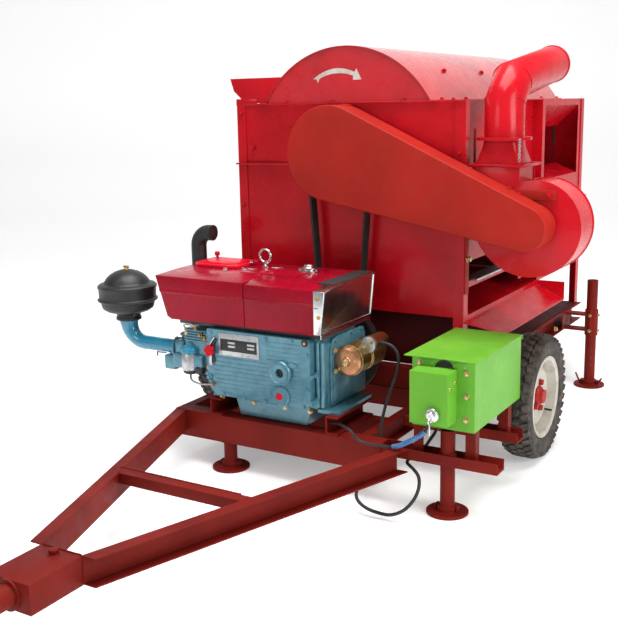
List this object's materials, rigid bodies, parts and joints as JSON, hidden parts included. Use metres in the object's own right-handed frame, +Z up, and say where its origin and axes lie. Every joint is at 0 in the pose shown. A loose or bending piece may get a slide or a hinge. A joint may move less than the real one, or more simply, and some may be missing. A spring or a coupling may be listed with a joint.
{
  "type": "corn sheller",
  "caption": "Towed engine-driven corn sheller: drum under a half-round cover, belt-driven fan with swivelling pipe, grain tray, battery box, drawbar and prop legs.",
  "frame": {"origin": "middle of the footprint on the ground, without the cables", "axes": "+X to the right seen from the drawbar, +Y to the rear along the machine, +Z up"},
  "size_m": [2.1486, 4.242, 1.888],
  "materials": {
    "frame_red": "oxide red enamel",
    "body_red": "crimson gloss enamel",
    "guard_red": "brick red enamel",
    "tank_red": "magenta red enamel",
    "engine_blue": "teal blue paint on castings",
    "box_green": "bright green enamel",
    "tyre": "black tyre rubber",
    "rim_white": "off-white rim, red hub",
    "belt_rubber": "black rubber",
    "iron": "bare iron",
    "black_plastic": "black moulded housing",
    "black_metal": "black heat paint",
    "brass": "yellow passivated steel",
    "bright": "bright steel",
    "knob_red": "red knob"
  },
  "bodies": {
    "trailer": {"front_cross_member": "frame_red", "second_cross_member": "frame_red", "lower_rear_cross_member": "frame_red", "lower_rail_left": "frame_red", "lower_rail_right": "frame_red", "battery_channel_rear": "frame_red", "engine_rail_left": "frame_red", "engine_rail_right": "frame_red", "chassis_rail_left": "frame_red", "chassis_rail_right": "frame_red", "chassis_cross_front": "frame_red", "chassis_cross_rear": "frame_red", "drawbar_left": "frame_red", "drawbar_right": "frame_red", "drawbar_tie": "frame_red", "drawbar_nose": "frame_red", "axle_beam": "frame_red", "front_wall": "body_red", "rear_wall": "body_red", "left_wall": "body_red", "right_wall": "body_red", "drum_cover": "body_red", "feed_hopper": "body_red", "grain_tray": "body_red", "fan_casing": "body_red", "drum_bearing_front": "iron", "concave": "iron", "main_belts": "belt_rubber", "fan_belt": "belt_rubber", "starter_cable": "belt_rubber", "control_cable": "belt_rubber", "belt_guard": "guard_red", "crankcase": "engine_blue", "gear_cover": "engine_blue", "cylinder_head": "engine_blue", "intake_pipe": "engine_blue", "fuel_tank": "tank_red", "air_cleaner": "black_plastic", "battery": "black_plastic", "exhaust_elbow": "black_metal", "starter_motor": "brass", "battery_box": "box_green", "control_box": "box_green"},
    "wheel_left": {"tyre_left": "tyre", "rim_left": "rim_white"},
    "wheel_right": {"tyre_right": "tyre", "rim_right": "rim_white"},
    "drum": {"drum_rotor": "iron"},
    "fan": {"fan_impeller": "iron"},
    "crankshaft": {"flywheel": "iron"},
    "sieve": {"sieve_pan": "bright"},
    "discharge": {"discharge_pipe": "body_red"},
    "lid": {"box_lid": "box_green"},
    "key": {"ignition_key": "bright"},
    "throttle": {"speed_lever": "knob_red"},
    "tank_cap": {"filler_cap": "bright"},
    "prop_front_left": {"leg_front_left": "frame_red"},
    "prop_front_right": {"leg_front_right": "frame_red"},
    "prop_rear_left": {"leg_rear_left": "frame_red"},
    "prop_rear_right": {"leg_rear_right": "frame_red"}
  },
  "joints": [
    {"name": "wheel_left_spin", "type": "hinge", "parent": "trailer", "child": "wheel_left", "pos_m": [-0.86732, 0.506, 0.29], "axis": [1, 0, 0], "continuous": true},
    {"name": "wheel_right_spin", "type": "hinge", "parent": "trailer", "child": "wheel_right", "pos_m": [0.80268, 0.506, 0.29], "axis": [1, 0, 0], "continuous": true},
    {"name": "drum_spin", "type": "hinge", "parent": "trailer", "child": "drum", "pos_m": [-0.03232, 1.081, 1.39], "axis": [0, 1, 0], "continuous": true},
    {"name": "fan_spin", "type": "hinge", "parent": "trailer", "child": "fan", "pos_m": [0.87968, 0.331, 1.113], "axis": [0, 1, 0], "continuous": true},
    {"name": "crank_spin", "type": "hinge", "parent": "trailer", "child": "crankshaft", "pos_m": [-0.03232, 0.141, 0.505], "axis": [0, 1, 0], "continuous": true},
    {"name": "sieve_shake", "type": "slide", "parent": "trailer", "child": "sieve", "axis": [1, 0, 0], "range_m": [-0.012, 0.012]},
    {"name": "pipe_swivel", "type": "hinge", "parent": "trailer", "child": "discharge", "pos_m": [0.70268, 0.331, 1.47], "axis": [0, 0, 1], "range_deg": [-150, 8]},
    {"name": "lid_hinge", "type": "hinge", "parent": "trailer", "child": "lid", "pos_m": [0.70618, -0.3203, 0.645], "axis": [1, 0, 0], "range_deg": [0, 100]},
    {"name": "key_turn", "type": "hinge", "parent": "trailer", "child": "key", "pos_m": [0.70668, -0.439, 0.447], "axis": [0, 1, 0], "range_deg": [0, 90]},
    {"name": "throttle_turn", "type": "hinge", "parent": "trailer", "child": "throttle", "pos_m": [-0.39232, -0.353, 0.502], "axis": [0, 1, 0], "range_deg": [-25, 25]},
    {"name": "cap_lift", "type": "slide", "parent": "trailer", "child": "tank_cap", "axis": [0, 0, 1], "range_m": [0, 0.05]},
    {"name": "leg_front_left_slide", "type": "slide", "parent": "trailer", "child": "prop_front_left", "axis": [0, 0, 1], "range_m": [-0.06, 0]},
    {"name": "leg_front_right_slide", "type": "slide", "parent": "trailer", "child": "prop_front_right", "axis": [0, 0, 1], "range_m": [-0.09, 0]},
    {"name": "leg_rear_left_slide", "type": "slide", "parent": "trailer", "child": "prop_rear_left", "axis": [0, 0, 1], "range_m": [-0.15, 0]},
    {"name": "leg_rear_right_slide", "type": "slide", "parent": "trailer", "child": "prop_rear_right", "axis": [0, 0, 1], "range_m": [-0.15, 0]}
  ],
  "couplings": [
    {"joint": "fan_spin", "follows": "drum_spin", "ratio": 2.1667},
    {"joint": "crank_spin", "follows": "drum_spin", "ratio": 1.7647}
  ]
}
